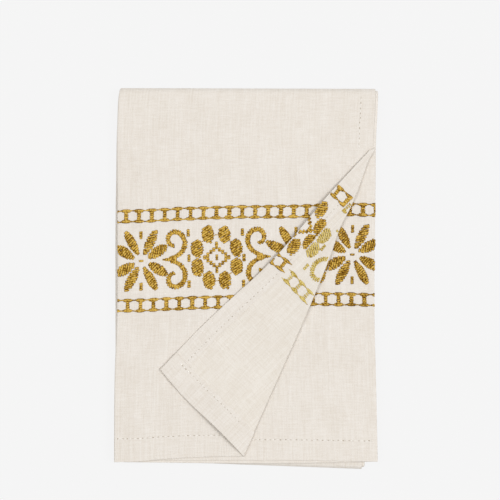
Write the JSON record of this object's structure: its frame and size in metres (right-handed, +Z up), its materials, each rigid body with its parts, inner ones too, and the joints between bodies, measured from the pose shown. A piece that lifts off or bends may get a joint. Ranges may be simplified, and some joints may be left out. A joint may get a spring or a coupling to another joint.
{
  "type": "tea towel",
  "caption": "Embroidered linen tea towel folded in thirds both ways, with one corner of the top panel turned back.",
  "frame": {"origin": "centre of the folded towel's footprint, on the surface it lies on", "axes": "+Z up off the table, +Y from the embroidered hem towards the top fold, +X towards the free side edge of the top panel"},
  "size_m": [0.1736, 0.2511, 0.0153],
  "materials": {
    "linen": "natural slub plain weave, matt",
    "gold_thread": "satin-stitched embroidery thread, soft sheen"
  },
  "bodies": {
    "root": {"towel": "linen"}
  },
  "joints": []
}
